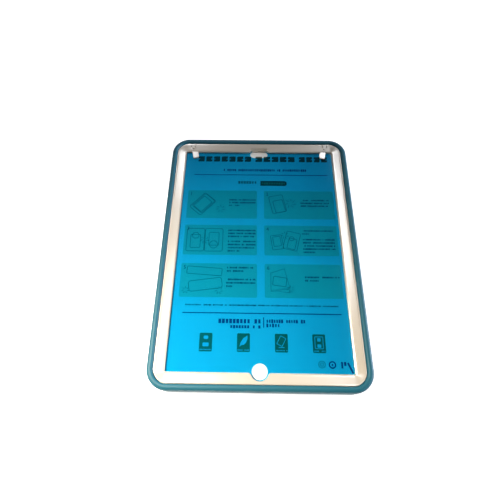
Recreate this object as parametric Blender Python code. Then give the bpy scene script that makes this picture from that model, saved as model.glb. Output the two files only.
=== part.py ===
# Shockproof tablet case with a built-in screen protector, lying on its back, screen side up.
# Metres, +Z up, +Y towards the tablet's camera end, origin under the middle of the case.

import math

import bpy
import bmesh
from mathutils import Vector

MM = 0.001

# Tablet that the case is made for
TABLET_WIDTH = 169.5 * MM
TABLET_LENGTH = 240.0 * MM
TABLET_THICKNESS = 7.5 * MM
TABLET_CORNER_RADIUS = 11.0 * MM
TABLET_SIDE_CLEARANCE = 0.4 * MM
TABLET_END_CLEARANCE = 0.65 * MM
HOME_BUTTON_FROM_END = 9.0 * MM
FRONT_CAMERA_FROM_END = 10.1 * MM
REAR_CAMERA_FROM_SIDE = 15.0 * MM
REAR_CAMERA_FROM_END = 14.8 * MM

# Clearances between pieces
FIT_GAP = 0.3 * MM
LAYER_GAP = 0.05 * MM
CUT_MARGIN = 2.0 * MM

# Back shell
SHELL_FLOOR = 1.6 * MM
SHELL_WALL = 1.5 * MM
SHELL_OUTER_FILLET = 2.0 * MM
SHELL_INNER_FILLET = 0.6 * MM
REAR_CAMERA_HOLE_DIAMETER = 15.0 * MM

# Bumper sleeve
BUMPER_WALL = 2.85 * MM
BUMPER_BACK_LIP = 1.3 * MM
BUMPER_BACK_LIP_WIDTH = 13.0 * MM
BUMPER_BACK_RADIUS = 2.6 * MM
BUMPER_LIP_EDGE_BREAK = 0.5 * MM
BEAD_OUTER_RADIUS = 3.0 * MM
BEAD_INNER_RADIUS = 2.0 * MM
BEAD_ABOVE_FRAME = 1.9 * MM

# Screen protector, its protective film and the tape that holds it
PROTECTOR_THICKNESS = 0.35 * MM
PROTECTOR_INSET = 0.6 * MM
FILM_THICKNESS = 0.12 * MM
FILM_EDGE_GAP = 0.35 * MM
TAPE_THICKNESS = 0.2 * MM
TAPE_INSET = 0.5 * MM
TAPE_SETBACK = 0.8 * MM

# Printed card that takes the tablet's place, its four edges folded down to stand on the floor
CARD_THICKNESS = 0.5 * MM
CARD_CLEARANCE = 0.2 * MM
CARD_FOLD_RADIUS = 0.7 * MM
CARD_CORNER_CUT = 3.0 * MM

# Front frame
FRAME_COVER_SIDE = 7.75 * MM
FRAME_COVER_END = 7.8 * MM
FRAME_OPENING_RADIUS = 1.2 * MM
FRAME_LIP_THICKNESS = 1.37 * MM
FRAME_RISE = 2.1 * MM
FRAME_SKIRT = 1.2 * MM
FRAME_SKIRT_DEPTH = 2.6 * MM
FRAME_REBATE_WIDTH = 2.45 * MM
FRAME_REBATE_THICKNESS = 1.17 * MM
FRAME_INNER_BREAK = 0.2 * MM
FRAME_OUTER_BREAK = 0.35 * MM

# Home button hole and front camera slot
HOME_HOLE_DIAMETER = 13.0 * MM
HOME_NOTCH_MARGIN = 1.2 * MM
HOME_NOTCH_SHOULDER = 2.6 * MM
CAMERA_SLOT_WIDTH = 18.3 * MM
CAMERA_SLOT_HEIGHT = 8.2 * MM
CAMERA_NOTCH_DEPTH = 2.0 * MM
CAMERA_NOTCH_WIDTH = 16.4 * MM
CAMERA_NOTCH_FLARE = 2.4 * MM
CAMERA_BEVEL_WIDTH = 2.4 * MM
CAMERA_BEVEL_DEPTH = 0.9 * MM

# Two canted tabs on the frame's camera end, with a dimple above each
TAB_FROM_CENTRE = 67.8 * MM
TAB_WIDTH = 6.2 * MM
TAB_LENGTH = 7.8 * MM
TAB_THICKNESS = 1.1 * MM
TAB_LEAN = math.radians(12.0)
TAB_CHAMFER_ACROSS = 1.3 * MM
TAB_CHAMFER_ALONG = 1.95 * MM
TAB_CORNER_BREAK = 0.65 * MM
TAB_ROOT = 1.5 * MM
DIMPLE_FROM_CENTRE = 70.0 * MM
DIMPLE_FROM_OPENING = 2.7 * MM
DIMPLE_WIDTH = 5.2 * MM
DIMPLE_HEIGHT = 4.6 * MM
DIMPLE_GROOVE = 0.8 * MM
DIMPLE_DEPTH = 0.45 * MM

# Openings in the rim, and the covered buttons
PORT_WIDTH = 14.0 * MM
PORT_HEIGHT = 6.4 * MM
PORT_INNER_FLARE = 1.15 * MM
PORT_FLARE = 4.6 * MM
PORT_RELIEF = 0.4 * MM
SPEAKER_WIDTH = 22.0 * MM
SPEAKER_HEIGHT = 3.0 * MM
SPEAKER_FROM_CENTRE = 30.0 * MM
JACK_DIAMETER = 7.0 * MM
JACK_FROM_SIDE = 14.8 * MM
MICROPHONE_DIAMETER = 2.0 * MM
ROUND_HOLE_STRETCH = 0.05 * MM
BUTTON_HEIGHT = 4.4 * MM
BUTTON_DISH_MARGIN = 1.6 * MM
BUTTON_DISH_DEPTH = 1.0 * MM
BUTTON_PAD_RISE = 0.7 * MM
BUTTON_CLEARANCE = 0.6 * MM
POWER_LENGTH = 12.0 * MM
POWER_FROM_SIDE = 22.0 * MM
VOLUME_LENGTH = 11.0 * MM
VOLUME_FROM_END = 41.0 * MM
VOLUME_SPACING = 15.0 * MM

# Steps that round stretches are drawn with
CORNER_STEPS = 10
FILLET_STEPS = 5
EDGE_STEPS = 3
BEAD_OUTER_STEPS = 8
BEAD_INNER_STEPS = 6
HOLE_STEPS = 40
NOTCH_STEPS = 20
SHARP_EDGE = math.radians(35.0)

# Heights that follow from the stack of pieces
SHELL_BOTTOM_Z = BUMPER_BACK_LIP + FIT_GAP
SHELL_FLOOR_Z = SHELL_BOTTOM_Z + SHELL_FLOOR
TABLET_BOTTOM_Z = SHELL_FLOOR_Z + FIT_GAP
TABLET_TOP_Z = TABLET_BOTTOM_Z + TABLET_THICKNESS
PROTECTOR_BOTTOM_Z = TABLET_TOP_Z + FIT_GAP
PROTECTOR_TOP_Z = PROTECTOR_BOTTOM_Z + PROTECTOR_THICKNESS
FILM_BOTTOM_Z = PROTECTOR_TOP_Z + LAYER_GAP
FILM_TOP_Z = FILM_BOTTOM_Z + FILM_THICKNESS
TAPE_BOTTOM_Z = PROTECTOR_TOP_Z + LAYER_GAP
TAPE_TOP_Z = TAPE_BOTTOM_Z + TAPE_THICKNESS
FRAME_UNDER_Z = TAPE_TOP_Z + LAYER_GAP
FRAME_INNER_TOP_Z = FRAME_UNDER_Z + FRAME_LIP_THICKNESS
FRAME_OUTER_TOP_Z = FRAME_INNER_TOP_Z + FRAME_RISE
FRAME_REBATE_Z = FRAME_UNDER_Z + FRAME_REBATE_THICKNESS
FRAME_SKIRT_Z = FRAME_UNDER_Z - FRAME_SKIRT_DEPTH
SHELL_TOP_Z = FRAME_UNDER_Z - FIT_GAP
BEAD_TOP_Z = FRAME_OUTER_TOP_Z + BEAD_ABOVE_FRAME
PORT_Z = TABLET_BOTTOM_Z + TABLET_THICKNESS / 2

# Offsets outwards from the cavity's wall that follow from the walls
SHELL_OUT = SHELL_WALL
SKIRT_IN = SHELL_OUT + FIT_GAP
FRAME_OUT = SKIRT_IN + FRAME_SKIRT
BUMPER_IN = FRAME_OUT + FIT_GAP
BUMPER_OUT = BUMPER_IN + BUMPER_WALL
FRAME_EDGE = FRAME_OUT - FRAME_REBATE_WIDTH
BEAD_IN = FRAME_EDGE + FIT_GAP
BACK_LIP_IN = BUMPER_OUT - BUMPER_BACK_LIP_WIDTH
PAD_IN = FIT_GAP * 2 - TABLET_SIDE_CLEARANCE
PAD_OUT = BUMPER_OUT - BUTTON_DISH_DEPTH + BUTTON_PAD_RISE

# Half sizes of the cavity and of the frame's opening
CAVITY_X = TABLET_WIDTH / 2 + TABLET_SIDE_CLEARANCE
CAVITY_Y = TABLET_LENGTH / 2 + TABLET_END_CLEARANCE
CAVITY_RADIUS = TABLET_CORNER_RADIUS + TABLET_SIDE_CLEARANCE
OPENING_X = TABLET_WIDTH / 2 - FRAME_COVER_SIDE
OPENING_Y = TABLET_LENGTH / 2 - FRAME_COVER_END
HOME_Y = -TABLET_LENGTH / 2 + HOME_BUTTON_FROM_END
CAMERA_Y = TABLET_LENGTH / 2 - FRONT_CAMERA_FROM_END
HOME_NOTCH_RADIUS = HOME_HOLE_DIAMETER / 2 + HOME_NOTCH_MARGIN


def clear_scene():
    for old in list(bpy.data.objects):
        bpy.data.objects.remove(old, do_unlink=True)


def plastic(name, colour, roughness, alpha=1.0):
    material = bpy.data.materials.new(name)
    material.use_nodes = True
    shader = material.node_tree.nodes["Principled BSDF"]
    shader.inputs["Base Color"].default_value = (*colour, 1.0)
    shader.inputs["Roughness"].default_value = roughness
    shader.inputs["Metallic"].default_value = 0.0
    shader.inputs["Alpha"].default_value = alpha
    return material


def outline(half_x, half_y, radius, z):
    """Rounded rectangle, anticlockwise, with the same number of points whatever its size."""
    points = []
    corners = ((1, 1, 0.0), (-1, 1, 0.5), (-1, -1, 1.0), (1, -1, 1.5))
    for sign_x, sign_y, start in corners:
        centre_x = sign_x * (half_x - radius)
        centre_y = sign_y * (half_y - radius)
        for step in range(CORNER_STEPS + 1):
            angle = math.pi * (start + 0.5 * step / CORNER_STEPS)
            points.append((centre_x + radius * math.cos(angle), centre_y + radius * math.sin(angle), z))
    return points


def rim(offset, z):
    """Outline that runs beside the cavity's wall at a constant distance outwards."""
    return outline(CAVITY_X + offset, CAVITY_Y + offset, CAVITY_RADIUS + offset, z)


def arc(centre_out, centre_z, radius, start, end, steps=FILLET_STEPS):
    """Points (offset, height) along an arc of a wall's section, angles in degrees."""
    points = []
    for step in range(steps + 1):
        angle = math.radians(start + (end - start) * step / steps)
        points.append((centre_out + radius * math.cos(angle), centre_z + radius * math.sin(angle)))
    return points


def mesh_object(name, vertices, faces, material):
    mesh = bpy.data.meshes.new(name)
    mesh.from_pydata([Vector(point) for point in vertices], [], faces)
    shell = bmesh.new()
    shell.from_mesh(mesh)
    bmesh.ops.recalc_face_normals(shell, faces=shell.faces)
    shell.to_mesh(mesh)
    shell.free()
    item = bpy.data.objects.new(name, mesh)
    bpy.context.scene.collection.objects.link(item)
    if material is not None:
        mesh.materials.append(material)
    return item


def loft(name, rings, material, closed):
    """Skins rings of equal length; closed joins the last to the first, or else both ends are capped."""
    count = len(rings[0])
    vertices = [point for ring in rings for point in ring]
    faces = []
    spans = len(rings) if closed else len(rings) - 1
    for span in range(spans):
        low = span * count
        high = (span + 1) % len(rings) * count
        for step in range(count):
            after = (step + 1) % count
            faces.append((low + step, low + after, high + after, high + step))
    if not closed:
        faces.append(tuple(reversed(range(count))))
        faces.append(tuple(range((len(rings) - 1) * count, len(rings) * count)))
    return mesh_object(name, vertices, faces, material)


def prism(name, points, low, high, material=None):
    """A flat outline of (x, y) points carried straight up from low to high."""
    rings = [[(x, y, low) for x, y in points], [(x, y, high) for x, y in points]]
    return loft(name, rings, material, closed=False)


def stadium(centre_x, centre_y, width, height):
    """Slot outline with round ends, its long side along x."""
    radius = height / 2
    reach = width / 2 - radius
    points = []
    for step in range(HOLE_STEPS // 2 + 1):
        angle = -math.pi / 2 + math.pi * step / (HOLE_STEPS // 2)
        points.append((centre_x + reach + radius * math.cos(angle), centre_y + radius * math.sin(angle)))
    for step in range(HOLE_STEPS // 2 + 1):
        angle = math.pi / 2 + math.pi * step / (HOLE_STEPS // 2)
        points.append((centre_x - reach + radius * math.cos(angle), centre_y + radius * math.sin(angle)))
    return points


def circle(centre_x, centre_y, diameter):
    points = []
    for step in range(HOLE_STEPS):
        angle = 2 * math.pi * step / HOLE_STEPS
        points.append((centre_x + diameter / 2 * math.cos(angle), centre_y + diameter / 2 * math.sin(angle)))
    return points


def guide(item):
    item.hide_render = True
    item.display_type = "WIRE"
    return item


def combine(item, tool, operation):
    change = item.modifiers.new(tool.name, "BOOLEAN")
    change.operation = operation
    change.solver = "EXACT"
    change.object = guide(tool)


def wall_tool(name, side, along, width, height, start, end, start_grow=0.0, end_grow=0.0):
    """Rounded tool that crosses the rim at one side, from offset start to offset end."""
    radius = height / 2
    section = stadium(0.0, 0.0, width, height)
    rings = []
    for offset, grow in ((start, start_grow), (end, end_grow)):
        ring = []
        for across, up in section:
            wide = across * (1 + grow / (width / 2))
            tall = up * (1 + min(grow, PORT_RELIEF) / radius)
            if side == "bottom":
                ring.append((along + wide, -CAVITY_Y - offset, PORT_Z + tall))
            elif side == "top":
                ring.append((along + wide, CAVITY_Y + offset, PORT_Z + tall))
            else:
                ring.append((CAVITY_X + offset, along + wide, PORT_Z + tall))
        rings.append(ring)
    return loft(name, rings, None, closed=False)


def home_notch(margin):
    """Round notch in the frame's lower edge, with flared shoulders, widened by margin."""
    radius = HOME_NOTCH_RADIUS + margin
    shoulder = HOME_NOTCH_SHOULDER - margin
    edge_y = -OPENING_Y - margin
    drop = HOME_Y - edge_y + shoulder
    reach = math.sqrt((radius + shoulder) ** 2 - drop ** 2)
    meet = math.atan2(-drop, reach)
    points = []
    for step in range(NOTCH_STEPS // 2 + 1):
        angle = math.pi / 2 + (meet + math.pi - math.pi / 2) * step / (NOTCH_STEPS // 2)
        points.append((reach + shoulder * math.cos(angle), edge_y - shoulder + shoulder * math.sin(angle)))
    for step in range(1, NOTCH_STEPS):
        angle = meet + (-math.pi - 2 * meet) * step / NOTCH_STEPS
        points.append((radius * math.cos(angle), HOME_Y + radius * math.sin(angle)))
    mirrored = [(-x, y) for x, y in reversed(points[:NOTCH_STEPS // 2 + 1])]
    points += mirrored
    top_y = -OPENING_Y + HOME_HOLE_DIAMETER
    points += [(-reach, top_y), (reach, top_y)]
    return points


def camera_notch(margin):
    """Flared notch in the frame's upper edge above the camera slot, widened by margin."""
    half_top = CAMERA_NOTCH_WIDTH / 2 + margin
    half_foot = half_top + CAMERA_NOTCH_FLARE
    foot_y = OPENING_Y
    top_y = foot_y + CAMERA_NOTCH_DEPTH + margin
    points = [(half_foot, foot_y - CAMERA_NOTCH_DEPTH), (half_foot, foot_y)]
    right = []
    for step in range(FILLET_STEPS * 2 + 1):
        share = step / (FILLET_STEPS * 2)
        ease = share * share * (3 - 2 * share)
        right.append((half_foot + (half_top - half_foot) * share, foot_y + (top_y - foot_y) * ease))
    points += right[1:]
    points += [(-x, y) for x, y in reversed(points)]
    return points


def opening_tool(name, margin, low, high):
    """The frame's opening with both its notches, as one cutter; margin widens it all round."""
    ring = outline(OPENING_X + margin, OPENING_Y + margin, FRAME_OPENING_RADIUS + margin, 0.0)
    tool = prism(name, [(x, y) for x, y, _ in ring], low, high)
    combine(tool, prism(name + "_home", home_notch(margin), low, high), "UNION")
    combine(tool, prism(name + "_camera", camera_notch(margin), low, high), "UNION")
    return tool


def tab_outline(side):
    """Canted tab over the screen's camera end, from inside the frame to its chamfered tip."""
    half = TAB_WIDTH / 2
    local = [(-half, TAB_ROOT), (-half, -TAB_LENGTH + TAB_CORNER_BREAK),
             (-half + TAB_CORNER_BREAK, -TAB_LENGTH), (half - TAB_CHAMFER_ACROSS, -TAB_LENGTH),
             (half, -TAB_LENGTH + TAB_CHAMFER_ALONG), (half, TAB_ROOT)]
    points = []
    for across, along in local:
        turned_x = across * math.cos(TAB_LEAN) - along * math.sin(TAB_LEAN)
        turned_y = across * math.sin(TAB_LEAN) + along * math.cos(TAB_LEAN)
        points.append((side * (TAB_FROM_CENTRE - turned_x), OPENING_Y + turned_y))
    return points if side < 0 else list(reversed(points))


def dimple_outline(side):
    """U-shaped groove, open towards the case's camera end."""
    outer = DIMPLE_WIDTH / 2
    inner = outer - DIMPLE_GROOVE
    centre_x = side * DIMPLE_FROM_CENTRE
    base_y = OPENING_Y + DIMPLE_FROM_OPENING
    top_y = base_y + DIMPLE_HEIGHT
    bend_y = base_y + outer
    points = [(centre_x + outer, top_y)]
    for radius, turn in ((outer, -1), (inner, 1)):
        for step in range(NOTCH_STEPS // 2 + 1):
            share = step / (NOTCH_STEPS // 2)
            angle = turn * math.pi * share if turn < 0 else -math.pi * (1 - share)
            points.append((centre_x + radius * math.cos(angle), bend_y + radius * math.sin(angle)))
        if turn < 0:
            points += [(centre_x - outer, top_y), (centre_x - inner, top_y)]
    points.append((centre_x + inner, top_y))
    return points


def frame_slope_z(inset):
    """Height of the frame's sloping face at a distance outwards from its opening, at the ends."""
    run = CAVITY_Y + FRAME_EDGE - OPENING_Y
    return FRAME_INNER_TOP_Z + FRAME_RISE * inset / run


def make_back_shell():
    section = [(SHELL_OUT - SHELL_OUTER_FILLET, SHELL_BOTTOM_Z)]
    section += arc(SHELL_OUT - SHELL_OUTER_FILLET, SHELL_BOTTOM_Z + SHELL_OUTER_FILLET,
                   SHELL_OUTER_FILLET, -90, 0)[1:]
    section += [(SHELL_OUT, SHELL_TOP_Z), (0.0, SHELL_TOP_Z)]
    section += arc(-SHELL_INNER_FILLET, SHELL_FLOOR_Z + SHELL_INNER_FILLET, SHELL_INNER_FILLET, 0, -90)
    shell = loft("back_shell", [rim(offset, z) for offset, z in section],
                 plastic("hard_shell", (0.88, 0.86, 0.82), 0.45), closed=False)
    hole = circle(TABLET_WIDTH / 2 - REAR_CAMERA_FROM_SIDE, TABLET_LENGTH / 2 - REAR_CAMERA_FROM_END,
                  REAR_CAMERA_HOLE_DIAMETER)
    combine(shell, prism("rear_camera_hole", hole, SHELL_BOTTOM_Z - CUT_MARGIN, TABLET_BOTTOM_Z + CUT_MARGIN),
            "DIFFERENCE")
    cut_rim_openings(shell, "shell", -CUT_MARGIN, SHELL_OUT + CUT_MARGIN)
    for label, side, along, length in button_places():
        combine(shell, wall_tool("shell_" + label, side, along, length + 2 * BUTTON_CLEARANCE,
                                 BUTTON_HEIGHT + 2 * BUTTON_CLEARANCE, -CUT_MARGIN, SHELL_OUT + CUT_MARGIN),
                "DIFFERENCE")
    return shell


def button_places():
    """Name, side, place along the side and length of each button that the bumper covers."""
    volume_y = TABLET_LENGTH / 2 - VOLUME_FROM_END
    return (("power_button", "top", TABLET_WIDTH / 2 - POWER_FROM_SIDE, POWER_LENGTH),
            ("volume_up", "right", volume_y, VOLUME_LENGTH),
            ("volume_down", "right", volume_y - VOLUME_SPACING, VOLUME_LENGTH))


def cut_rim_openings(item, label, start, end, port_flares=(0.0, 0.0)):
    """Charging port, speaker slots, headphone hole and microphone hole through one wall."""
    port = wall_tool(label + "_port", "bottom", 0.0, PORT_WIDTH, PORT_HEIGHT, start, end, *port_flares)
    combine(item, port, "DIFFERENCE")
    openings = (("speaker_left", "bottom", -SPEAKER_FROM_CENTRE, SPEAKER_WIDTH, SPEAKER_HEIGHT),
                ("speaker_right", "bottom", SPEAKER_FROM_CENTRE, SPEAKER_WIDTH, SPEAKER_HEIGHT),
                ("jack", "top", -TABLET_WIDTH / 2 + JACK_FROM_SIDE, JACK_DIAMETER + ROUND_HOLE_STRETCH,
                 JACK_DIAMETER),
                ("microphone", "top", 0.0, MICROPHONE_DIAMETER + ROUND_HOLE_STRETCH, MICROPHONE_DIAMETER))
    for name, side, along, width, height in openings:
        combine(item, wall_tool(label + "_" + name, side, along, width, height, start, end), "DIFFERENCE")


def block(name, low, high):
    corners = [(low[0], low[1]), (high[0], low[1]), (high[0], high[1]), (low[0], high[1])]
    return prism(name, corners, low[2], high[2])


def make_insert_card():
    half_x = TABLET_WIDTH / 2 - CARD_CLEARANCE
    half_y = TABLET_LENGTH / 2 - CARD_CLEARANCE
    radius = TABLET_CORNER_RADIUS - CARD_CLEARANCE
    under_z = TABLET_TOP_Z - CARD_THICKNESS
    section = [(CARD_THICKNESS, under_z), (CARD_THICKNESS, TABLET_BOTTOM_Z), (0.0, TABLET_BOTTOM_Z)]
    section += [(-out, z) for out, z in arc(-CARD_FOLD_RADIUS, TABLET_TOP_Z - CARD_FOLD_RADIUS,
                                            CARD_FOLD_RADIUS, 0, 90)]
    rings = [outline(half_x - inset, half_y - inset, radius - inset, z) for inset, z in section]
    card = loft("insert_card", rings, plastic("printed_card", (0.90, 0.88, 0.83), 0.7), closed=False)
    cut_top = under_z - CARD_FOLD_RADIUS
    cut = radius + CARD_CORNER_CUT
    for sign_x in (-1, 1):
        for sign_y in (-1, 1):
            far_x, far_y = sign_x * (half_x + CUT_MARGIN), sign_y * (half_y + CUT_MARGIN)
            near_x, near_y = sign_x * (half_x - cut), sign_y * (half_y - cut)
            low = (min(near_x, far_x), min(near_y, far_y), TABLET_BOTTOM_Z - CUT_MARGIN)
            high = (max(near_x, far_x), max(near_y, far_y), cut_top)
            combine(card, block("card_corner_%d_%d" % (sign_x, sign_y), low, high), "DIFFERENCE")
    return card


def pierce(sheet, name, low, high):
    """Cuts the home button hole and the front camera slot through a sheet."""
    hole = circle(0.0, HOME_Y, HOME_HOLE_DIAMETER)
    slot = stadium(0.0, CAMERA_Y, CAMERA_SLOT_WIDTH, CAMERA_SLOT_HEIGHT)
    for label, points in (("_home_hole", hole), ("_camera_slot", slot)):
        combine(sheet, prism(name + label, points, low - CUT_MARGIN, high + CUT_MARGIN), "DIFFERENCE")


def pierced_sheet(name, points, low, high, material):
    """A thin sheet with the home button hole and the front camera slot."""
    sheet = prism(name, points, low, high, material)
    pierce(sheet, name, low, high)
    return sheet


def protector_outline(inset):
    half_x = TABLET_WIDTH / 2 - PROTECTOR_INSET - inset
    half_y = TABLET_LENGTH / 2 - PROTECTOR_INSET - inset
    ring = outline(half_x, half_y, TABLET_CORNER_RADIUS - PROTECTOR_INSET - inset, 0.0)
    return [(x, y) for x, y, _ in ring]


def make_screen_protector():
    material = plastic("clear_sheet", (0.92, 0.95, 0.96), 0.06, alpha=0.25)
    return pierced_sheet("screen_protector", protector_outline(0.0), PROTECTOR_BOTTOM_Z, PROTECTOR_TOP_Z,
                         material)


def make_protector_tape():
    tape = prism("protector_tape", protector_outline(TAPE_INSET), TAPE_BOTTOM_Z, TAPE_TOP_Z,
                 plastic("adhesive_tape", (0.03, 0.03, 0.03), 0.6))
    window = opening_tool("tape_window", TAPE_SETBACK, TAPE_BOTTOM_Z - CUT_MARGIN, TAPE_TOP_Z + CUT_MARGIN)
    combine(tape, window, "DIFFERENCE")
    return tape


def make_protective_film():
    half_x = OPENING_X - FILM_EDGE_GAP
    half_y = OPENING_Y - FILM_EDGE_GAP
    ring = outline(half_x, half_y, FRAME_OPENING_RADIUS - FILM_EDGE_GAP, 0.0)
    points = [(x, y) for x, y, _ in ring]
    film = prism("protective_film", points, FILM_BOTTOM_Z, FILM_TOP_Z,
                 plastic("blue_film", (0.0, 0.45, 0.72), 0.08))
    tongues = (("film_home_tongue", home_notch), ("film_camera_tongue", camera_notch))
    for label, notch in tongues:
        combine(film, prism(label, notch(-FILM_EDGE_GAP), FILM_BOTTOM_Z, FILM_TOP_Z), "UNION")
    pierce(film, "film", FILM_BOTTOM_Z, FILM_TOP_Z)
    return film


def make_front_frame():
    def opening(grow, z):
        return outline(OPENING_X + grow, OPENING_Y + grow, FRAME_OPENING_RADIUS + grow, z)

    rings = [opening(0.0, FRAME_UNDER_Z), opening(0.0, FRAME_INNER_TOP_Z - FRAME_INNER_BREAK),
             opening(FRAME_INNER_BREAK, FRAME_INNER_TOP_Z)]
    section = arc(FRAME_EDGE - FRAME_OUTER_BREAK, FRAME_OUTER_TOP_Z - FRAME_OUTER_BREAK,
                  FRAME_OUTER_BREAK, 90, 0, EDGE_STEPS)
    section += [(FRAME_EDGE, FRAME_REBATE_Z), (FRAME_OUT, FRAME_REBATE_Z), (FRAME_OUT, FRAME_SKIRT_Z),
                (SKIRT_IN, FRAME_SKIRT_Z), (SKIRT_IN, FRAME_UNDER_Z)]
    rings += [rim(offset, z) for offset, z in section]
    frame = loft("front_frame", rings, plastic("satin_frame", (0.88, 0.85, 0.79), 0.35), closed=True)
    high = FRAME_OUTER_TOP_Z + CUT_MARGIN
    low = FRAME_UNDER_Z - CUT_MARGIN
    combine(frame, prism("frame_home_notch", home_notch(0.0), low, high), "DIFFERENCE")
    combine(frame, prism("frame_camera_notch", camera_notch(0.0), low, high), "DIFFERENCE")
    combine(frame, camera_bevel_tool(), "DIFFERENCE")
    for side in (-1, 1):
        name = "left" if side < 0 else "right"
        tab = prism("tab_" + name, tab_outline(side), FRAME_INNER_TOP_Z - TAB_THICKNESS, FRAME_INNER_TOP_Z)
        combine(frame, tab, "UNION")
        groove_z = frame_slope_z(DIMPLE_FROM_OPENING) - DIMPLE_DEPTH
        combine(frame, prism("dimple_" + name, dimple_outline(side), groove_z, high), "DIFFERENCE")
    cut_rim_openings(frame, "frame", SKIRT_IN - FIT_GAP / 2, FRAME_OUT + CUT_MARGIN)
    for label, side, along, length in button_places():
        combine(frame, wall_tool("frame_" + label, side, along, length + 2 * BUTTON_CLEARANCE,
                                 BUTTON_HEIGHT + 2 * BUTTON_CLEARANCE, SKIRT_IN - FIT_GAP / 2,
                                 FRAME_OUT + CUT_MARGIN), "DIFFERENCE")
    return frame


def camera_bevel_tool():
    """Wedge that bevels the frame's face down to the camera notch."""
    half_low = CAMERA_NOTCH_WIDTH / 2
    half_high = half_low + CAMERA_BEVEL_WIDTH
    near_y = OPENING_Y
    edge_y = near_y + CAMERA_NOTCH_DEPTH
    far_y = edge_y + CAMERA_BEVEL_WIDTH
    low_z = frame_slope_z(CAMERA_NOTCH_DEPTH) - CAMERA_BEVEL_DEPTH
    high_z = frame_slope_z(CAMERA_NOTCH_DEPTH + CAMERA_BEVEL_WIDTH)
    top_z = high_z + CUT_MARGIN
    lift = (high_z - low_z) / CAMERA_BEVEL_WIDTH
    past_y = far_y + CUT_MARGIN / lift
    rings = []
    for y, z, half in ((near_y, low_z, half_low), (edge_y, low_z, half_low), (far_y, high_z, half_high),
                       (past_y, top_z, half_high)):
        rings.append([(-half, y, z), (half, y, z)])
    lower = [point for ring in rings for point in ring]
    upper = [(x, y, top_z) for x, y, z in lower[:-2]]
    vertices = lower + upper
    faces = [(0, 1, 3, 2), (2, 3, 5, 4), (4, 5, 7, 6), (8, 10, 11, 9), (10, 12, 13, 11), (12, 6, 7, 13),
             (0, 8, 9, 1), (0, 2, 10, 8), (2, 4, 12, 10), (4, 6, 12), (1, 9, 11, 3), (3, 11, 13, 5),
             (5, 13, 7)]
    return mesh_object("camera_bevel", vertices, faces, None)


def bumper_section():
    """The sleeve's section as (offset, height), from the bead's lip round to the back and up again."""
    lip_z = FRAME_REBATE_Z + FIT_GAP
    step_z = FRAME_SKIRT_Z - FIT_GAP
    section = [(BEAD_IN, lip_z), (BUMPER_IN, lip_z), (BUMPER_IN, step_z), (SKIRT_IN, step_z),
               (SKIRT_IN, BUMPER_BACK_LIP), (BACK_LIP_IN, BUMPER_BACK_LIP)]
    section += arc(BACK_LIP_IN + BUMPER_LIP_EDGE_BREAK, BUMPER_LIP_EDGE_BREAK, BUMPER_LIP_EDGE_BREAK,
                   180, 270, EDGE_STEPS)
    section += arc(BUMPER_OUT - BUMPER_BACK_RADIUS, BUMPER_BACK_RADIUS, BUMPER_BACK_RADIUS, -90, 0)
    section += arc(BUMPER_OUT - BEAD_OUTER_RADIUS, BEAD_TOP_Z - BEAD_OUTER_RADIUS, BEAD_OUTER_RADIUS, 0, 90,
                   BEAD_OUTER_STEPS)
    section += arc(BEAD_IN + BEAD_INNER_RADIUS, BEAD_TOP_Z - BEAD_INNER_RADIUS, BEAD_INNER_RADIUS, 90, 180,
                   BEAD_INNER_STEPS)
    return section


def make_bumper():
    rings = [rim(offset, z) for offset, z in bumper_section()]
    bumper = loft("bumper", rings, plastic("soft_bumper", (0.05, 0.30, 0.38), 0.5), closed=True)
    cut_rim_openings(bumper, "bumper", SKIRT_IN - FIT_GAP / 2, BUMPER_OUT + CUT_MARGIN,
                     (PORT_INNER_FLARE, PORT_FLARE))
    for label, side, along, length in button_places():
        dish = wall_tool("dish_" + label, side, along, length + 2 * BUTTON_DISH_MARGIN,
                         BUTTON_HEIGHT + 2 * BUTTON_DISH_MARGIN, BUMPER_OUT - BUTTON_DISH_DEPTH,
                         BUMPER_OUT + CUT_MARGIN)
        combine(bumper, dish, "DIFFERENCE")
        pad = wall_tool("pad_" + label, side, along, length, BUTTON_HEIGHT, PAD_IN, PAD_OUT)
        combine(bumper, pad, "UNION")
    return bumper


clear_scene()
pieces = [make_back_shell(), make_insert_card(), make_screen_protector(), make_protective_film(),
          make_protector_tape(), make_front_frame(), make_bumper()]
for piece in pieces:
    piece.data.shade_smooth()
    piece.data.set_sharp_from_angle(angle=SHARP_EDGE)
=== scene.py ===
import math

import bmesh
import bpy
from mathutils import Euler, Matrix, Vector


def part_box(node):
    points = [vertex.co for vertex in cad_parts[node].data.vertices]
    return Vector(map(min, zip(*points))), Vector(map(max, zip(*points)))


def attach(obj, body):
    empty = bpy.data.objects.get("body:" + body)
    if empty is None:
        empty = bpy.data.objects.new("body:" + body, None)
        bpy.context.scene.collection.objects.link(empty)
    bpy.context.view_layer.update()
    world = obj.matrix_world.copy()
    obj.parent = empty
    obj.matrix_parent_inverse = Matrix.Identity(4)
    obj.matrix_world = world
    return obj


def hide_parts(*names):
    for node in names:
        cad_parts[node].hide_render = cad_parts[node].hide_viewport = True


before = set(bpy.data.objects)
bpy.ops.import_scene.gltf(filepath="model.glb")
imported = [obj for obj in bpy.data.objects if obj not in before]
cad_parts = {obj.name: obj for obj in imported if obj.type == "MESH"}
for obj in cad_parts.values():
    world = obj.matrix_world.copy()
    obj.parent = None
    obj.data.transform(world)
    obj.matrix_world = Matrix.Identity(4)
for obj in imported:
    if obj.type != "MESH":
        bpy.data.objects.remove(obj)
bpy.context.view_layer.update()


# Back shell
# The hard tray behind the tablet, moulded in one piece of white polycarbonate.
# The soft bumper grips it, and leaves the finely grained back of it open to see.
MM = 0.001
MERGE_DISTANCE = 0.001 * MM
SHARP_EDGE = math.radians(32.0)
SHELL_WHITE = 0xE6E1D8
SHELL_SHADE = 0xDCD6CB
SHELL_ROUGHNESS = (0.42, 0.58)
SHELL_GRAIN = 0.45
SHELL_GRAIN_RELIEF = 0.02
COLOUR_DRIFT = 30.0
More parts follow.
